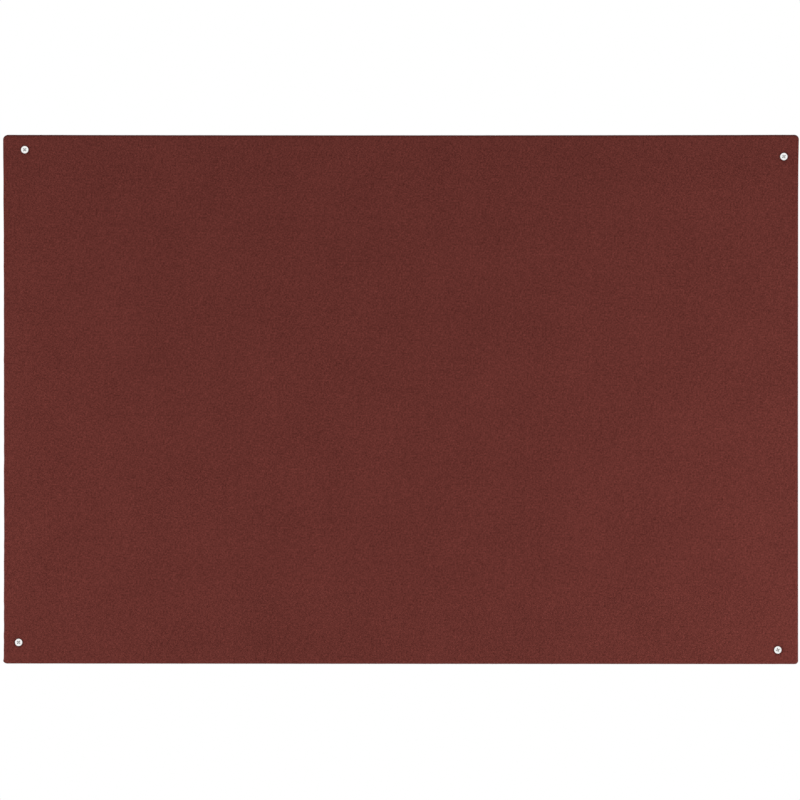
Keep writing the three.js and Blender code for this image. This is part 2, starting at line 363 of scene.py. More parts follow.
def hardboard_finish():
    """Hardboard's rough side: brown pressed fibres, and the print of the screen that it was pressed on."""
    board = Finish("brown_hardboard", Specular_IOR_Level=0.12)
    fibres = board.mat(5.0 * MM, 0.5 * MM, (0.3, 1.2, 2.0, 2.7), board.bent(6.0 * MM, 5.0 * MM)) - 0.12
    flecks = board.noise(1.3 * MM, detail=4.0, roughness=0.7)
    clouds = board.noise(110 * MM, detail=4.0)
    rubbed = board.noise((160 * MM, 40 * MM, 30 * MM), detail=5.0, roughness=0.6)
    wire_turn = 2 * math.pi / (2.1 * MM)
    screen = (board.along("X") * wire_turn).sine() * (board.along("Z") * wire_turn).sine()
    screen = screen * (0.8 + rubbed)
    tone = 0.5 + 0.6 * fibres + 0.6 * flecks + 0.35 * clouds + 0.2 * rubbed - 0.11 * screen
    board.drive(
        Base_Color=board.mix(tone.between(0.0, 1.0), HARDBOARD_DEEP, HARDBOARD_PALE),
        Roughness=(0.72 + 0.3 * rubbed + 0.2 * flecks).between(0.5, 0.9),
        Normal=board.bump(0.4 * fibres + 0.3 * flecks - 0.9 * screen, 0.22 * MM, 0.8),
    )
    return board.material


def zinc_finish():
    """Bright zinc plate, faintly scuffed. It is dark grey where the mesh's attribute says so: soiling
    together with painted shade, deepest at the floor of the cross recess.
    """
    zinc = Finish("bright_zinc")
    cloud = zinc.noise(1.6 * MM, detail=3.0)
    grain = zinc.noise(0.18 * MM, detail=3.0, roughness=0.6)
    scuffs = zinc.noise((1.8 * MM, 0.1 * MM, 0.07 * MM), turn=0.6, detail=2.0)
    # Soiling and painted shade: the plate turns dark grey and less metallic towards the floor of the cross
    # recess.
    grime_and_shade = (zinc.attribute("grime_and_shade") * (1.0 + 1.2 * cloud + 0.8 * grain)).between(0.0, 1.0)
    tone = (0.6 + 0.9 * cloud + 0.5 * grain + 0.9 * scuffs).between(0.0, 1.0)
    plate = zinc.mix(tone, ZINC_DULL, ZINC_BRIGHT)
    zinc.drive(
        Base_Color=zinc.mix(grime_and_shade, plate, ZINC_GRIME_AND_SHADE),
        Metallic=1.0 - 0.6 * grime_and_shade,
        Roughness=(0.28 + 0.35 * cloud + 0.25 * scuffs + 0.35 * grime_and_shade).between(0.16, 0.8),
        Normal=zinc.bump(grain + 0.6 * cloud + 0.5 * scuffs, 0.02 * MM, 0.6),
    )
    return zinc.material


def wire_finish():
    """Galvanised staple wire, drawn along its length and a little dull."""
    wire = Finish("galvanised_wire", Metallic=1.0)
    drawn = wire.noise(0.25 * MM, detail=3.0, roughness=0.6)
    dull = wire.noise(2.5 * MM, detail=3.0)
    tone = 0.5 + 0.8 * dull + 0.4 * drawn
    wire.drive(
        Base_Color=wire.mix(tone.between(0.0, 1.0), WIRE_DULL, WIRE_BRIGHT),
        Roughness=(0.38 + 0.3 * dull + 0.2 * drawn).between(0.2, 0.7),
        Normal=wire.bump(drawn, 0.02 * MM, 0.5),
    )
    return wire.material


def nylon_finish():
    """Grey moulded nylon: satin, with a slight haze."""
    nylon = Finish("grey_nylon", Specular_IOR_Level=0.35)
    haze = nylon.noise(3.0 * MM, detail=3.0)
    skin = nylon.noise(0.3 * MM, detail=3.0)
    tone = (0.5 + haze).between(0.0, 1.0)
    nylon.drive(
        Base_Color=nylon.mix(tone, NYLON_DEEP, NYLON_PALE),
        Roughness=(0.48 + 0.3 * haze + 0.2 * skin).between(0.3, 0.7),
        Normal=nylon.bump(skin, 0.03 * MM, 0.5),
    )
    return nylon.material


# Meshes


def piece(name, bm, material, slot, *nodes, crease=35):
    """Makes a piece of a bmesh, in place of the CAD nodes given. Bends over crease degrees stay sharp."""
    for face in bm.faces:
        face.smooth = True
    for edge in bm.edges:
        if edge.is_manifold and edge.calc_face_angle() > math.radians(crease):
            edge.smooth = False
    mesh = bpy.data.meshes.new(name)
    bm.to_mesh(mesh)
    bm.free()
    mesh.materials.append(material)
    made = bpy.data.objects.new(name, mesh)
    bpy.context.scene.collection.objects.link(made)
    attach(made, BODY)
    if nodes:
        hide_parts(*nodes)
    return made


def grown(bm, loop, put):
    """Extrudes a closed loop of edges, calls put() on each new vertex, and returns the new loop."""
    made = bmesh.ops.extrude_edge_only(bm, edges=loop)["geom"]
    for part in made:
        if isinstance(part, bmesh.types.BMVert):
            put(part)
    return [part for part in made if isinstance(part, bmesh.types.BMEdge)]


def joined(base, tool, operation):
    """Joins or cuts two bmeshes with a Boolean modifier, and returns the result as a new bmesh."""
    pair = []
    for bm in (base, tool):
        mesh = bpy.data.meshes.new("boolean")
        bm.to_mesh(mesh)
        bm.free()
        pair.append(bpy.data.objects.new("boolean", mesh))
        bpy.context.scene.collection.objects.link(pair[-1])
    modifier = pair[0].modifiers.new("boolean", "BOOLEAN")
    modifier.operation = operation
    modifier.solver = "EXACT"
    modifier.object = pair[1]
    result = bmesh.new()
    result.from_object(pair[0], bpy.context.evaluated_depsgraph_get())
    for leftover in pair:
        bpy.data.meshes.remove(leftover.data)
    return result


def block(low, high):
    """A box between two corners."""
    bm = bmesh.new()
    bmesh.ops.create_cube(bm, size=1.0)
    size = Vector(high) - Vector(low)
    bmesh.ops.scale(bm, vec=size, verts=bm.verts)
    bmesh.ops.translate(bm, vec=Vector(low) + size / 2, verts=bm.verts)
    return bm


def softened(bm, edges, offset, segments=2):
    bmesh.ops.bevel(
        bm, geom=edges, offset=offset, affect="EDGES", segments=segments, profile=0.5, material=-1
    )


# The felt skin. It starts as the flat pattern of the cloth, a grid whose lines crowd near the edges, where
# the screws are. The grid's rim is then drawn over the edge and on to the back, ring by ring. A vertex
# keeps its place on the grid in the layer station, and its place on the unrolled cloth in the layer cloth.
# On a flap, the run of the cloth from the flat front is TURN_RUN more than the inset from the edge. From
# SHARP_INSET on, the flaps' rings have sharp corners, and from OPEN_INSET on the mitres are fully open.

FLAT_X = HALF_X - TURN_RADIUS
FLAT_Z = HALF_Z - TURN_RADIUS
TURN_RUN = FLAP_Y - FRONT_Y + (math.pi - 3) * TURN_RADIUS
CORNER_ZONE = max(CORNER_RADII.values()) - TURN_RADIUS
CORNER_STEPS = 10
CORNER_CROWDING = 1.15
TURN_STEPS = 6
SIDE_STEPS = 5
FLAP_STEPS = 11
SHARP_INSET = 2.2 * TURN_RADIUS
OPEN_INSET = 3 * TURN_RADIUS
GRID_FINE = 1.2 * MM
GRID_COARSE = 7.0 * MM
GRID_BAND = 31.2 * MM
PATCH_CELLS = 9
HOLE_CELLS = 4
HOLE_RADIUS = 4.4 * MM
FLAP_HOLE_RADIUS = 2.6 * MM
FLAP_HOLE_SIDES = 16
CUT_SNAP = 0.02 * MM
MITRE_HALF = 0.5 * MM
MITRE_BAND = 5 * MM
TINY = 1e-6


def grid_lines(half):
    """Lines from -half to half: coarse in the middle, fine in a band, and crowded towards the end."""
    start = half - CORNER_ZONE
    inner = start - GRID_BAND
    fine_steps = round(GRID_BAND / GRID_FINE)
    coarse_steps = round(2 * inner / GRID_COARSE)
    side = [mixed(inner, start, i / fine_steps) for i in range(fine_steps)]
    for i in range(CORNER_STEPS + 1):
        side.append(mixed(half, start, (1 - i / CORNER_STEPS) ** CORNER_CROWDING))
    middle = [mixed(-inner, inner, i / coarse_steps) for i in range(1, coarse_steps)]
    return [-place for place in reversed(side)] + middle + side


def nearest_corner(x, z):
    return ("bottom" if z < 0 else "top") + "_" + ("left" if x < 0 else "right")


def flat_corner(x, z):
    """The radius of the nearest corner of the flat front."""
    return CORNER_RADII[nearest_corner(x, z)] - TURN_RADIUS


def corner_center(x, z):
    """The nearest point that is no closer to the flat front's rim than the nearest corner's radius."""
    far_x, far_z = FLAT_X - flat_corner(x, z), FLAT_Z - flat_corner(x, z)
    return Vector((min(max(x, -far_x), far_x), min(max(z, -far_z), far_z)))


def round_corner(place):
    """Maps the square at each corner of the flat pattern to a quarter disc."""
    center = corner_center(*place)
    offset = place - center
    if offset.length < TINY:
        return place
    return center + offset.normalized() * max(abs(offset.x), abs(offset.y))


def round_patch(place, center, line):
    """Near a screw, maps squares of grid lines to circles round it. line is the nearest grid crossing."""
    reach = PATCH_CELLS * GRID_FINE
    offset = place - line
    square = max(abs(offset.x), abs(offset.y))
    if square > reach or square < TINY:
        return place
    share = 1 - smooth(square / reach, 0.5, 1.0)
    ring = square - (HOLE_CELLS * GRID_FINE - HOLE_RADIUS) * share
    return place.lerp(center + offset.normalized() * ring, share)


def turn_rings():
    """The rings of the rim round the edge: each one's reach outside the flat front, its y and its run."""
    quarter = math.pi / 2
    side = FLAP_Y - FRONT_Y - 2 * TURN_RADIUS
    arc = TURN_RADIUS * quarter
    rings = []
    for i in range(1, TURN_STEPS + 1):
        angle = quarter * i / TURN_STEPS
        y = FRONT_Y + TURN_RADIUS * (1 - math.cos(angle))
        rings.append((TURN_RADIUS * math.sin(angle), y, TURN_RADIUS * angle))
    for i in range(1, SIDE_STEPS + 1):
        run = side * i / SIDE_STEPS
        rings.append((TURN_RADIUS, FRONT_Y + TURN_RADIUS + run, arc + run))
    for i in range(1, TURN_STEPS + 1):
        angle = quarter * (1 - i / TURN_STEPS)
        y = FLAP_Y - TURN_RADIUS * (1 - math.cos(angle))
        rings.append((TURN_RADIUS * math.sin(angle), y, 2 * arc + side - TURN_RADIUS * angle))
    return rings


def outside_flat(station, reach):
    """The place that lies reach outside the flat front, straight out from a vertex of its rim."""
    center = corner_center(*station.xy)
    out = (round_corner(station.xy) - center).normalized()
    return center + out * (flat_corner(*station.xy) + reach)


def on_flap(station, inset):
    """The same on the flaps, at that inset from the board's edge. Their rings soon get sharp corners."""
    rounded = outside_flat(station, 0)
    sharp = Vector((station.x * (HALF_X - inset) / FLAT_X, station.y * (HALF_Z - inset) / FLAT_Z))
    return rounded.lerp(sharp, smooth(inset, TURN_RADIUS, SHARP_INSET))


def flat_front(bm, station, cloth):
    """The flat front, with its screw holes open. Returns the loop of its rim."""
    xs, zs = grid_lines(FLAT_X), grid_lines(FLAT_Z)
    bmesh.ops.create_grid(bm, x_segments=len(xs) - 1, y_segments=len(zs) - 1, size=1.0)
    patches = []
    for center in SCREWS.values():
        line_x = min(xs, key=lambda x: abs(x - center.x))
        line_z = min(zs, key=lambda z: abs(z - center.y))
        patches.append((center, Vector((line_x, line_z))))
    for vertex in bm.verts:
        column = round((vertex.co.x + 1) / 2 * (len(xs) - 1))
        row = round((vertex.co.y + 1) / 2 * (len(zs) - 1))
        vertex[station] = (xs[column], zs[row], 0)
        place = round_corner(vertex[station].xy)
        for center, line in patches:
            place = round_patch(place, center, line)
        vertex.co = (place.x, FRONT_Y, place.y)
        vertex[cloth] = (place.x, 0, place.y)
    opened = []
    for face in bm.faces:
        middle = sum((vertex[station] for vertex in face.verts), Vector()).xy / 4
        for _, line in patches:
            offset = middle - line
            if max(abs(offset.x), abs(offset.y)) < HOLE_CELLS * GRID_FINE:
                opened.append(face)
    bmesh.ops.delete(bm, geom=opened, context="FACES")
    return [edge for edge in bm.edges if edge.is_boundary and all(on_rim(v[station]) for v in edge.verts)]


def on_rim(station):
    return abs(abs(station.x) - FLAT_X) < TINY or abs(abs(station.y) - FLAT_Z) < TINY


def insets(place):
    """How far a place lies inside the board's outline, from the nearer side and from the nearer end."""
    return HALF_X - abs(place.x), HALF_Z - abs(place.z)


def to_nearest(place, points):
    """How far it is from a place to the nearest of some named points, in the plane of X and Z."""
    return min((place.xz - point).length for point in points.values())


def beside_side(vertex):
    """Whether a vertex of the back belongs to a side's flap, and not to the top's or the bottom's."""
    beside = sum((face.calc_center_median() for face in vertex.link_faces), Vector())
    beside_x, beside_z = insets(beside / len(vertex.link_faces))
    return beside_x < beside_z


def cut_mitres(bm, station, cloth):
    """Parts the flaps along the diagonal at each corner. The slit opens softly beyond the turn of the felt.

    Each flap then gets its place on the unrolled cloth, straight out from the edge that it turns over.
    """
    seams = []
    for edge in bm.edges:
        ends = [vertex[station] for vertex in edge.verts]
        at_corner = all(abs(abs(s.x) - FLAT_X) < TINY and abs(abs(s.y) - FLAT_Z) < TINY for s in ends)
        if at_corner and all(vertex.co.y > FLAP_Y - TINY for vertex in edge.verts):
            seams.append(edge)
    bmesh.ops.split_edges(bm, edges=seams)
    for vertex in bm.verts:
        if vertex.co.y < FLAP_Y - TINY:
            continue
        inset_x, inset_z = insets(vertex.co)
        inset = min(inset_x, inset_z)
        on_side = beside_side(vertex)
        x, _, z = vertex.co
        if on_side:
            straight = Vector((math.copysign(FLAT_X + TURN_RUN + inset, x), 0, z))
        else:
            straight = Vector((x, 0, math.copysign(FLAT_Z + TURN_RUN + inset, z)))
        vertex[cloth] = vertex[cloth].lerp(straight, smooth(inset, TURN_RADIUS, SHARP_INSET))
        beyond = abs(inset_x - inset_z) / math.sqrt(2)
        if beyond < MITRE_BAND:
            away = Vector((-math.copysign(1, x), 0, math.copysign(1, z))).normalized()
            opened = smooth(inset, TURN_RADIUS, OPEN_INSET) * (-1 if on_side else 1)
            vertex.co += away * MITRE_HALF * opened * (1 - beyond / MITRE_BAND)


def open_flap_holes(bm):
    """Opens the flaps round each screw by straight cuts, one after another. A plug's rim hides the hole."""
    for center in SCREWS.values():
        middle = Vector((center.x, FLAP_Y, center.y))
        inside = []
        for face in bm.faces:
            if (face.calc_center_median() - middle).length < 2 * FLAP_HOLE_RADIUS:
                inside.append(face)
        for i in range(FLAP_HOLE_SIDES):
            angle = math.tau * i / FLAP_HOLE_SIDES
            out = Vector((math.cos(angle), 0, math.sin(angle)))
            rims = {edge for face in inside for edge in face.edges}
            ends = {vertex for face in inside for vertex in face.verts}
            plane = {"plane_co": middle + out * FLAP_HOLE_RADIUS, "plane_no": out, "dist": CUT_SNAP}
            cut = bmesh.ops.bisect_plane(bm, geom=[*inside, *rims, *ends], **plane)["geom"]
            inside = []
            for face in cut:
                if isinstance(face, bmesh.types.BMFace):
                    if (face.calc_center_median() - middle).dot(out) < FLAP_HOLE_RADIUS:
                        inside.append(face)
        bmesh.ops.delete(bm, geom=inside, context="FACES")


def felt_skin():
    bm = bmesh.new()
    station = bm.verts.layers.float_vector.new("station")
    cloth = bm.verts.layers.float_vector.new("cloth")
    press_shade = bm.verts.layers.float.new("press_shade")
    loop = flat_front(bm, station, cloth)

    def put(vertex, place, y, run):
        unrolled = outside_flat(vertex[station], run)
        vertex[cloth] = (unrolled.x, 0, unrolled.y)
        vertex.co = (place.x, y, place.y)

    for outset, y, run in turn_rings():
        loop = grown(bm, loop, lambda v: put(v, outside_flat(v[station], outset), y, run))
    for i in range(1, FLAP_STEPS + 1):
        inset = mixed(TURN_RADIUS, FLAP_INSET, i / FLAP_STEPS)
        flap_run = run + inset - TURN_RADIUS
        loop = grown(bm, loop, lambda v: put(v, on_flap(v[station], inset), FLAP_Y, flap_run))
    cut_mitres(bm, station, cloth)
    open_flap_holes(bm)

    outer_places = {vertex.co.to_tuple() for vertex in bm.verts}
    bmesh.ops.solidify(bm, geom=bm.faces[:], thickness=FELT)
    for vertex in bm.verts:
        inner = vertex.co.to_tuple() not in outer_places
        vertex[cloth].y = FELT if inner else 0
        vertex[press_shade] = pressed(vertex.co)
        vertex.co = settled(vertex.co, inner)
    return bm


# How the felt really lies. Each edge is a little off the straight outline of the board: by how much at its
# first and at its last end, and half way on top of that, in mm, outwards. The top and the bottom edge run
# from left to right, and the sides run from top to bottom. Each edge also has its share of small waves, and
# the sides lie some more mm out at the corners. A small fold sticks out just above the bottom left corner.
# PLEAT_DEPTH is a share of the corner's radius, and PLEAT_WAVES is the pleats in a full turn.
EDGE_SHAPES = {
    "top": (0.07, 0.10, -0.54),
    "bottom": (-0.74, -0.09, 0.11),
    "left": (0.86, 0.19, -0.52),
    "right": (0.46, 0.26, -0.26),
}
EDGE_WAVES = {"top": 0.5, "bottom": 0.5, "left": 3.5, "right": 0.5}
EDGE_BAND = 14 * MM
CORNER_FLARES = {"top_left": 0.27, "top_right": 0.85, "bottom_right": -0.05, "bottom_left": 0.20}
FLARE_REACH = 22 * MM
FOLD_PLACE = Vector((-HALF_X, 2.6 * MM - HALF_Z))
FOLD_DEPTH = 0.7 * MM
FOLD_WIDTH = 2.2 * MM
PLEAT_DEPTH = 0.04
PLEAT_WAVES = 5
CUT_EASE = 10 * MM


def edge_shift(edge, share, x, z):
    """How far outwards an edge lies at that share of its length."""
    first, last, middle = EDGE_SHAPES[edge]
    shape = mixed(first, last, share) + middle * 4 * share * (1 - share)
    if edge in ("left", "right"):
        shape += CORNER_FLARES[nearest_corner(x, z)] * math.exp((abs(z) - HALF_Z) / FLARE_REACH)
    waves = 0.08 * bumps(x, 0, z, 34 * MM) + 0.08 * bumps(x, 0, z, 8 * MM, 1)
    return (shape + EDGE_WAVES[edge] * waves) * MM


def corner_pleats(x, y, z):
    """How far the round part of a corner is pleated outwards. The pleats deepen towards the back."""
    center = corner_center(x, z)
    offset = Vector((x, z)) - center
    if abs(offset.x) < TINY or abs(offset.y) < TINY:
        return Vector((0, 0))
    angle = math.atan2(abs(offset.y), abs(offset.x))
    phase = 10 * bumps(center.x, 0, center.y, HALF_X)
    depth = PLEAT_DEPTH * CORNER_RADII[nearest_corner(x, z)] * math.sin(2 * angle)
    depth *= smooth(y, FRONT_Y + FELT, FLAP_Y - FELT)
    return offset.normalized() * depth * math.sin(PLEAT_WAVES * angle + phase)


def on_front(y):
    return 1 - smooth(y, FRONT_Y, FRONT_Y + 1.5 * FELT)


def on_back(y):
    return smooth(y, FLAP_Y - 1.5 * FELT, FLAP_Y - FELT)


def settled(place, inner):
    """Where a point of the plain skin really lies. The inner face only closes in under the screw heads."""
    x, y, z = place
    moved = Vector(place)
    if inner:
        for center in SCREWS.values():
            offset = place.xz - center
            if on_front(y) and offset.length < 2 * HOLE_RADIUS:
                under_head = 1.8 * MM * (1 - smooth(offset.length, HOLE_RADIUS, 1.8 * HOLE_RADIUS))
                moved.xz -= offset.normalized() * under_head
        return moved

    side, end = ("left" if x < 0 else "right"), ("bottom" if z < 0 else "top")
    inset_x, inset_z = insets(place)
    near_side = 1 - smooth(inset_x, 0, EDGE_BAND)
    near_end = 1 - smooth(inset_z, 0, EDGE_BAND)
    if near_side:
        moved.x += math.copysign(near_side, x) * edge_shift(side, (1 - z / HALF_Z) / 2, x, z)
    if near_end:
        moved.z += math.copysign(near_end, z) * edge_shift(end, (1 + x / HALF_X) / 2, x, z)
    if near_side and near_end:
        moved.xz += corner_pleats(x, y, z)
        moved.x -= FOLD_DEPTH * bell((place.xz - FOLD_PLACE).length, FOLD_WIDTH)

    # The front rises and falls a little with the softboard and the cloth, and dips at the screws.
    front = on_front(y)
    if front:
        relief = 0.10 * bumps(x, 0, z, 55 * MM, 2) + 0.05 * bumps(x, 0, z, 16 * MM, 3)
        moved.y -= relief * MM * front
        for center in SCREWS.values():
            offset = place.xz - center
            beyond = offset.length - HOLE_RADIUS
            if beyond < 3 * HOLE_RADIUS:
                moved.y += (0.38 * bell(beyond, 3.2 * MM) + 0.37 * bell(beyond, 0.8 * MM)) * MM
                under_head = 0.8 * MM * (1 - smooth(beyond, 0, 3 * MM))
                moved.xz -= offset.normalized() * under_head

    # The flaps puff up between the staples and the plugs, and their cut edge isn't quite straight.
    back = on_back(y)
    inset = min(inset_x, inset_z)
    if back and inset > TURN_RADIUS:
        held = max(bell(to_nearest(place, STAPLES), 10 * MM), bell(to_nearest(place, SCREWS), 8 * MM))
        puff = mixed(0.46 * (0.75 + 0.5 * bumps(x, 0, z, 24 * MM, 4)), 0.26, held)
        moved.y += puff * MM * back * smooth(inset, TURN_RADIUS, OPEN_INSET)
        ragged = 0.45 * bumps(x, 0, z, 26 * MM, 5) + 0.18 * bumps(x, 0, z, 3.5 * MM, 6)
        off_mitre = smooth(abs(inset_z - inset_x), 0, CUT_EASE)
        cut = ragged * MM * off_mitre * smooth(inset, 0.6 * FLAP_INSET, FLAP_INSET)
        if inset_z < inset_x:
            moved.z += cut
        else:
            moved.x += cut
    return moved


def pressed(place):
    """How firmly the felt is pressed, from 0 to 1: round screws and staples, and along its cut edge. It
    darkens the felt's colour, which round the screw heads is painted shade in the dips.
    """
    spots = [0.0]
    if on_front(place.y):
        spots.append(bell(max(to_nearest(place, SCREWS) - HEAD_RADIUS, 0), 1.9 * MM))
    if on_back(place.y):
        spots.append(0.5 * bell(to_nearest(place, STAPLES), 4 * MM))
        spots.append(0.4 * smooth(min(insets(place)), FLAP_INSET - 2 * MM, FLAP_INSET))
    return max(spots)


# Loose fibres. A few curved strands are modelled, and many copies of them lie on the felt.

STRAND_KINDS = 10
STRAND_STEPS = 4
FACE_STRANDS = 4500
EDGE_STRANDS = 2400
CUT_STRANDS = 900


def strand(length, radius, curl, rise):
    """One fibre from the origin along +X: three sides, tapered, curled sideways, and bowed up."""
    bm = bmesh.new()
    bmesh.ops.create_circle(bm, segments=3, radius=radius, cap_ends=True)
    bmesh.ops.rotate(bm, matrix=Matrix.Rotation(math.pi / 2, 3, "Y"), verts=bm.verts)
    root = bm.verts.layers.float_vector.new("root")
    for vertex in bm.verts:
        vertex[root] = vertex.co
    loop = list(bm.edges)
    along = Vector()
    for i in range(1, STRAND_STEPS + 1):
        share = i / STRAND_STEPS
        turn = Matrix.Rotation(curl * share, 3, "Z")
        along += turn @ Vector((length / STRAND_STEPS, 0, 0))
        along.z = rise * math.sin(math.pi * share) * (1 - 0.4 * share)

        def put(vertex):
            vertex.co = turn @ vertex[root] * (1 - 0.75 * share) + along

        loop = grown(bm, loop, put)
    bmesh.ops.contextual_create(bm, geom=loop)
    bmesh.ops.recalc_face_normals(bm, faces=bm.faces)
    mesh = bpy.data.meshes.new("strand")
    bm.to_mesh(mesh)
    bm.free()
    return mesh


def strands(chance, longest):
    return [
        strand(
            length=chance.uniform(0.35, 1.0) * longest,
            radius=chance.uniform(0.022, 0.036) * MM,
            curl=chance.uniform(-2.6, 2.6),
            rise=chance.uniform(0.02, 0.08) * longest,
        )
        for _ in range(STRAND_KINDS)
    ]


def lay(bm, mesh, place, normal, heading):
    """Adds a copy of the mesh with its root at place and its top along normal, turned by heading."""
    up = normal.to_track_quat("Z", "Y").to_matrix().to_4x4()
    matrix = Matrix.Translation(place) @ up @ Matrix.Rotation(heading, 4, "Z")
    mesh.transform(matrix)
    bm.from_mesh(mesh)
    mesh.transform(matrix.inverted())


def tilted(normal, chance, spread):
    return (normal + Vector([chance.gauss(0, spread) for _ in range(3)])).normalized()


def face_strands(count):
    """Fibres that lie on the front."""
    chance = random.Random(41)
    kinds = strands(chance, 5 * MM)
    bm = bmesh.new()
    while count > 0:
        x = chance.uniform(-1, 1) * (FLAT_X - CORNER_ZONE)
        z = chance.uniform(-1, 1) * (FLAT_Z - CORNER_ZONE)
        place = Vector((x, FRONT_Y, z))
        if to_nearest(place, SCREWS) < 2 * HOLE_RADIUS:
            continue
        place = settled(place, False)
        normal = tilted(Vector((0, -1, 0)), chance, 0.04)
        lay(bm, chance.choice(kinds), place, normal, chance.uniform(0, math.tau))
        count -= 1
    return bm


def edge_station(chance):
    """A place on the rim of the flat front, taken evenly round the board."""
    along = chance.uniform(-1, 1)
    sign = chance.choice((-1, 1))
    if chance.random() < HALF_X / (HALF_X + HALF_Z):
        return Vector((along * FLAT_X, sign * FLAT_Z, 0))
    return Vector((sign * FLAT_X, along * FLAT_Z, 0))


def edge_strands(count):
    """Fibres that lie round the edges and stand off them a little."""
    chance = random.Random(77)
    kinds = strands(chance, 2.6 * MM)
    rings = turn_rings()
    bm = bmesh.new()
    for _ in range(count):
        station = edge_station(chance)
        outset, y, _ = chance.choice(rings)
        place = outside_flat(station, outset)
        out = (place - corner_center(*station.xy)).normalized() * outset / TURN_RADIUS
        lean = math.sqrt(max(0.0, 1 - out.length_squared)) * (1 if y > (FRONT_Y + FLAP_Y) / 2 else -1)
        normal = tilted(Vector((out.x, lean, out.y)), chance, 0.12)
        place = settled(Vector((place.x, y, place.y)), False)
        lay(bm, chance.choice(kinds), place, normal, chance.uniform(0, math.tau))
    return bm


def cut_strands(count):
    """Fibres that fray from the flaps' cut edges on the back."""
    chance = random.Random(93)
    kinds = strands(chance, 3.2 * MM)
    bm = bmesh.new()
    for _ in range(count):
        place = on_flap(edge_station(chance), FLAP_INSET - chance.uniform(0, 0.6) * MM)
        place = settled(Vector((place.x, FLAP_Y, place.y)), False)
        normal = tilted(Vector((0, 1, 0)), chance, 0.12)
        lay(bm, chance.choice(kinds), place, normal, chance.uniform(0, math.tau))
    return bm


# Screws. A screw is one stack of rings of 36 vertices, from the floor of the cross recess over the head and
# down to the tip. In the recess a ring follows the cross, and elsewhere it is round.

RING_VERTICES = 36
WING_VERTICES = RING_VERTICES // 4
WING_SIDE = ((1.12, 0.0), (1.0, 0.22), (1.0, 0.65), (0.85, 0.985), (0.35, 1.0))
RECESS_STEPS = ((1.0, 0.40), (0.96, 0.46), (0.7, 0.60), (0.4, 0.78), (0.1, 0.95), (0.02, 0.99))


def round_point(index, radius):
    angle = math.tau * index / RING_VERTICES - math.pi / 4
    return Vector((math.cos(angle), math.sin(angle))) * radius


def cross_point(index, share):
    """A point of the cross's outline at a share of its full size. Its wings narrow less than their span."""
    quarter, step = divmod(index, WING_VERTICES)
    upper = step > WING_VERTICES // 2
    across, outwards = WING_SIDE[WING_VERTICES - step if upper else step]
    half_wing = RECESS_WING / 2 * mixed(1, share, 0.45)
    x = mixed(half_wing, RECESS_SPAN / 2 * share, outwards) * (across if step == 0 else 1)
    y = half_wing * across * (1 if upper else -1)
    turned = Matrix.Rotation(quarter * math.pi / 2, 2)
    return turned @ Vector((x, y))


def thread_radius(index, y):
    """The radius of the threaded stretch at a vertex. Its ridge climbs one pitch in each turn."""
    turns = y / THREAD_PITCH - index / RING_VERTICES
    off_ridge = abs(turns % 1 - 0.5) * THREAD_PITCH
    ridge = max(0.0, 1 - off_ridge / (0.42 * MM))
    start = HEAD_TOP_Y + SHANK_LENGTH
    grow = smooth(y, start, start + THREAD_PITCH)
    narrow = min(1.0, max((TIP_Y - y) / TIP_LENGTH, 0.0)) ** 0.8
    root = mixed(SHANK_RADIUS, ROOT_RADIUS, grow)
    return narrow * (root + (THREAD_RADIUS - ROOT_RADIUS) * ridge * grow) + 0.02 * MM


def screw_rings():
    """Each ring's y, its outline as a function of a vertex's index, and how dark it is painted from 0 to 1:
    soiling and painted shade, deepest in the recess.
    """
    top = HEAD_TOP_Y
    rings = []
    for depth, share in RECESS_STEPS:
        # Soiling and painted shade: the deeper a ring lies in the recess, the darker it is, and the head is
        # faintly darker round the recess.
        recess_darkening = mixed(0.10, 0.45, depth)
        rings.append((top + RECESS_DEPTH * depth, partial(cross_point, share=share), recess_darkening))
    for share in (0.06, 0.35, 0.65, 0.9):
        rings.append((top, partial(beside_recess, share=share), 0.08 * (1 - share)))
    for drop, pull in ((0.02, 0.08), (0.07, 0.03), (0.14, 0.0), (0.36, 0.0), (0.43, 0.05)):
        rings.append((top + drop * MM, partial(round_point, radius=HEAD_RADIUS - pull * MM), 0.0))
    neck_y = top + HEAD_RIM + HEAD_RADIUS - SHANK_RADIUS
    rings.append((neck_y, partial(round_point, radius=SHANK_RADIUS + 0.1 * MM), 0.0))
    rings.append((neck_y + 0.4 * MM, partial(round_point, radius=SHANK_RADIUS), 0.0))
    start = top + SHANK_LENGTH
    steps = round((TIP_Y - start) / THREAD_PITCH * 10)
    for i in range(steps + 1):
        y = mixed(start, TIP_Y, i / steps)
        rings.append((y, partial(thread_point, y=y), 0.0))
    return rings


def beside_recess(index, share):
    return cross_point(index, 1.01).lerp(round_point(index, HEAD_RADIUS - 0.12 * MM), share)


def thread_point(index, y):
    return round_point(index, thread_radius(index, y))


def screw_body(turn):
    bm = bmesh.new()
    grime_and_shade = bm.verts.layers.float.new("grime_and_shade")
    order = bm.verts.layers.int.new("order")
    bmesh.ops.create_circle(bm, segments=RING_VERTICES, radius=1.0)
    turned = Matrix.Rotation(turn, 2)
    rings = screw_rings()

    def put(vertex, y, outline, recess_darkening):
        place = turned @ outline(vertex[order])
        vertex.co = (place.x, y, place.y)
        vertex[grime_and_shade] = recess_darkening

    for index, vertex in enumerate(bm.verts):
        vertex[order] = index
        put(vertex, *rings[0])
    loop = list(bm.edges)
    floor = bmesh.ops.contextual_create(bm, geom=loop)["faces"]
    bmesh.ops.poke(bm, faces=floor)
    for ring in rings[1:]:
        loop = grown(bm, loop, lambda vertex: put(vertex, *ring))
    bmesh.ops.contextual_create(bm, geom=loop)
    bmesh.ops.recalc_face_normals(bm, faces=bm.faces)
    return bm


def screws(material):
    for name, place in SCREWS.items():
        bm = screw_body(math.radians(RECESS_TURNS[name]))
        bmesh.ops.translate(bm, vec=(place.x, 0, place.y), verts=bm.verts)
        piece("zinc_screw_" + name, bm, material, "screw_zinc", "screw_" + name, crease=32)


# Wall plugs


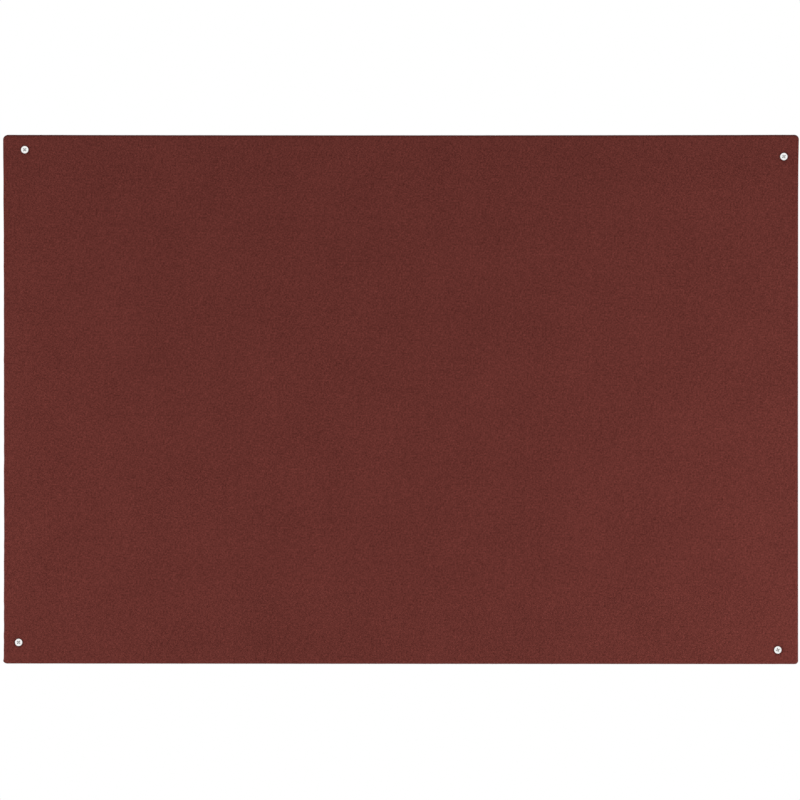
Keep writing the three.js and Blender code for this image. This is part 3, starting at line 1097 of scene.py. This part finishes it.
def plug_profile():
    """[radius, y] round the wall of the sleeve, from the bore over the rim and the barbs to the nose."""
    soft = 0.12 * MM
    profile = [
        (BORE_RADIUS + soft, PLUG_RIM_Y),
        (PLUG_RIM_RADIUS - 2 * soft, PLUG_RIM_Y),
        (PLUG_RIM_RADIUS - soft / 2, PLUG_RIM_Y + soft),
        (PLUG_RIM_RADIUS, PLUG_RIM_Y + 3 * soft),
        (PLUG_RIM_RADIUS, -soft),
        (PLUG_RIM_RADIUS - soft, 0),
        (PLUG_RADIUS + soft, 0),
        (PLUG_RADIUS, soft),
        (PLUG_RADIUS, PLUG_NECK),
    ]
    pitch = (PLUG_END_Y - PLUG_NECK - PLUG_NOSE) / PLUG_BARBS
    valley = PLUG_RADIUS - PLUG_BARB_DEPTH
    for i in range(1, PLUG_BARBS + 1):
        y = PLUG_NECK + i * pitch
        profile += [(valley, y - soft), (PLUG_RADIUS - soft, y), (PLUG_RADIUS, y + soft)]
    profile += [
        ((BORE_RADIUS + PLUG_RADIUS) / 2, PLUG_END_Y - soft),
        (BORE_RADIUS + 2 * soft, PLUG_END_Y),
        (BORE_RADIUS, PLUG_END_Y - soft),
        (BORE_RADIUS, PLUG_RIM_Y + soft),
    ]
    return profile


def plug_fin(turn):
    """A fin on the neck, which slopes down to nothing where the barbs begin."""
    half = PLUG_FIN_WIDTH / 2
    bm = block((-half, 0.2 * MM, BORE_RADIUS + half), (half, PLUG_NECK, PLUG_RADIUS + PLUG_FIN))
    for vertex in bm.verts:
        if vertex.co.y > PLUG_NECK / 2 and vertex.co.z > PLUG_RADIUS:
            vertex.co.z = PLUG_RADIUS - PLUG_BARB_DEPTH
    crest = [edge for edge in bm.edges if all(vertex.co.z > PLUG_RADIUS - half for vertex in edge.verts)]
    softened(bm, crest, 0.15 * MM)
    bmesh.ops.rotate(bm, matrix=Matrix.Rotation(turn, 3, "Y"), verts=bm.verts)
    return bm


def plug_body():
    bm = bmesh.new()
    outline = [bm.verts.new((radius, y, 0)) for radius, y in plug_profile()]
    edges = [bm.edges.new(pair) for pair in zip(outline, outline[1:] + outline[:1])]
    axis = {"cent": (0, 0, 0), "axis": (0, 1, 0), "angle": math.tau}
    bmesh.ops.spin(bm, geom=outline + edges, steps=PLUG_SEGMENTS, use_merge=True, **axis)
    bmesh.ops.remove_doubles(bm, verts=bm.verts, dist=TINY / 10)
    bmesh.ops.recalc_face_normals(bm, faces=bm.faces)
    for turn in (0, math.pi):
        bm = joined(bm, plug_fin(turn), "UNION")
    reach, half = PLUG_RIM_RADIUS, PLUG_SLOT / 2
    slot = block((-reach, PLUG_NECK, -half), (reach, PLUG_END_Y + reach, half))
    return joined(bm, slot, "DIFFERENCE")


def wall_plugs(material):
    plug = plug_body()
    for name, place in SCREWS.items():
        bm = plug.copy()
        bmesh.ops.translate(bm, vec=(place.x, 0, place.y), verts=bm.verts)
        piece("nylon_plug_" + name, bm, material, "plug_nylon", "wall_plug_" + name)
    plug.free()


# Staples and boards


def staples(material):
    """Each staple is its CAD node's wire, merged and with its edges rounded."""
    for name in STAPLES:
        bm = bmesh.new()
        bm.from_mesh(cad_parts[name].data)
        bmesh.ops.remove_doubles(bm, verts=bm.verts, dist=TINY)
        bmesh.ops.dissolve_limit(bm, angle_limit=math.radians(2), verts=bm.verts, edges=bm.edges)
        sharp = [edge for edge in bm.edges if edge.calc_face_angle() > math.radians(50)]
        softened(bm, sharp, 0.09 * MM)
        piece("wire_" + name, bm, material, "staple_wire", name, crease=40)


def hardboard_panel(material):
    """The hardboard back, with slightly broken edges."""
    bm = block(panel_low, panel_high)
    upright = [edge for edge in bm.edges if abs(edge.verts[0].co.y - edge.verts[1].co.y) > MM]
    softened(bm, upright, 2 * MM, segments=6)
    rims = [edge for edge in bm.edges if edge.calc_face_angle() > math.radians(60)]
    softened(bm, rims, 0.25 * MM, segments=3)
    piece("hardboard_back", bm, material, "hardboard", "backing_panel")


def softboard(material):
    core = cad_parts["softboard_core"]
    core.data.materials.clear()
    core.data.materials.append(material)


def felt():
    skin = piece("felt_skin", felt_skin(), felt_finish(), "felt", "felt_cover", crease=50)
    strand_material = strand_finish()
    fuzz = [
        piece("face_strands", face_strands(FACE_STRANDS), strand_material, "felt", crease=60),
        piece("edge_strands", edge_strands(EDGE_STRANDS), strand_material, "felt", crease=60),
        piece("cut_strands", cut_strands(CUT_STRANDS), strand_material, "felt", crease=60),
    ]
    margin = FLAP_Y - FRONT_Y + FLAP_INSET
    width, height = 2 * (HALF_X + margin), 2 * (HALF_Z + margin)
    width * height - 2 * margin**2


# Studio and camera


def soft_light(name, place, size, power):
    """A square soft light, turned to the board's middle. Neither the camera nor a reflection shows it."""
    data = bpy.data.lights.new(name, "AREA")
    data.size = size
    data.energy = power
    light = bpy.data.objects.new(name, data)
    light.location = place
    light.rotation_euler = (-Vector(place)).to_track_quat("-Z", "Y").to_euler()
    light.visible_camera = False
    light.visible_glossy = False
    bpy.context.scene.collection.objects.link(light)


def white_world(ambient):
    """A white background for the camera and in reflections, and an even, dimmer light for all the rest."""
    world = bpy.data.worlds.new("studio")
    world.use_nodes = True
    bpy.context.scene.world = world
    nodes = Nodes(world.node_tree)
    seen = nodes.node("ShaderNodeLightPath", output="Is Camera Ray")
    for kind in ("Is Glossy Ray", "Is Transmission Ray"):
        seen = seen.at_least(nodes.node("ShaderNodeLightPath", output=kind))
    background = world.node_tree.nodes["Background"]
    nodes.join((1, 1, 1, 1), background.inputs["Color"])
    nodes.join(ambient + (1 - ambient) * seen, background.inputs["Strength"])


FLOOR_Z = -0.75
FLOOR_RADIUS = 1.5
FLOOR_FADE_START = 0.7


def pale_floor():
    """A round pale floor well below the board, which fades into the white background towards its edge."""
    bm = bmesh.new()
    bmesh.ops.create_circle(bm, cap_ends=True, segments=96, radius=FLOOR_RADIUS)
    bmesh.ops.translate(bm, vec=(0, 0, FLOOR_Z), verts=bm.verts)
    mesh = bpy.data.meshes.new("floor")
    bm.to_mesh(mesh)
    bm.free()
    paint = Finish("pale_floor", Base_Color=(0.82, 0.82, 0.81, 1.0), Roughness=0.9)
    x, y = paint.along("X"), paint.along("Y")
    distance = (x * x + y * y) ** 0.5
    fade = ((distance - FLOOR_FADE_START) / (0.95 * FLOOR_RADIUS - FLOOR_FADE_START)).between(0.0, 1.0)
    seen = paint.node("ShaderNodeLightPath", output="Is Camera Ray")
    white = paint.node("ShaderNodeEmission", sockets={"Color": (1, 1, 1, 1), "Strength": 1.0})
    body = Field(paint, paint.shader.outputs[0])
    blend = paint.node("ShaderNodeMixShader", sockets={0: fade * seen, 1: body, 2: white})
    paint.tree.links.new(blend.socket, paint.tree.nodes["Material Output"].inputs["Surface"])
    mesh.materials.append(paint.material)
    floor = bpy.data.objects.new("floor", mesh)
    bpy.context.scene.collection.objects.link(floor)


# The photograph, in its own pixels: its size, and the board's left, right, top and bottom edge
PHOTO_SIZE = 800
BOARD_LEFT, BOARD_RIGHT = 3.95, 797.95
BOARD_TOP, BOARD_BOTTOM = 135.2, 663.85
CAMERA_DISTANCE = 9.0


def photo_camera():
    """Straight on to the front, with the board at the place and the scale that it has in the photograph."""
    scale = 2 * HALF_X / (BOARD_RIGHT - BOARD_LEFT)
    off_x = (PHOTO_SIZE - BOARD_LEFT - BOARD_RIGHT) / 2 * scale
    off_z = (BOARD_TOP + BOARD_BOTTOM - PHOTO_SIZE) / 2 * scale
    data = bpy.data.cameras.new("photo_camera")
    data.lens = data.sensor_width * CAMERA_DISTANCE / (PHOTO_SIZE * scale)
    camera = bpy.data.objects.new("photo_camera", data)
    camera.location = (off_x, FRONT_Y + TURN_RADIUS - CAMERA_DISTANCE, off_z)
    camera.rotation_euler = (math.pi / 2, 0, 0)
    bpy.context.scene.collection.objects.link(camera)
    bpy.context.scene.camera = camera


def studio():
    white_world(ambient=0.5)
    soft_light("key", (1.21, -0.80, -0.47), 1.0, 14.6)
    soft_light("fill", (-1.26, -0.80, -0.34), 1.0, 9.5)
    soft_light("back", (0.3, 1.9, 0.9), 1.6, 24)
    pale_floor()
    bpy.context.scene.view_settings.view_transform = "Standard"


photo_camera()
studio()
felt()
screws(zinc_finish())
wall_plugs(nylon_finish())
staples(wire_finish())
hardboard_panel(hardboard_finish())
softboard(softboard_finish())
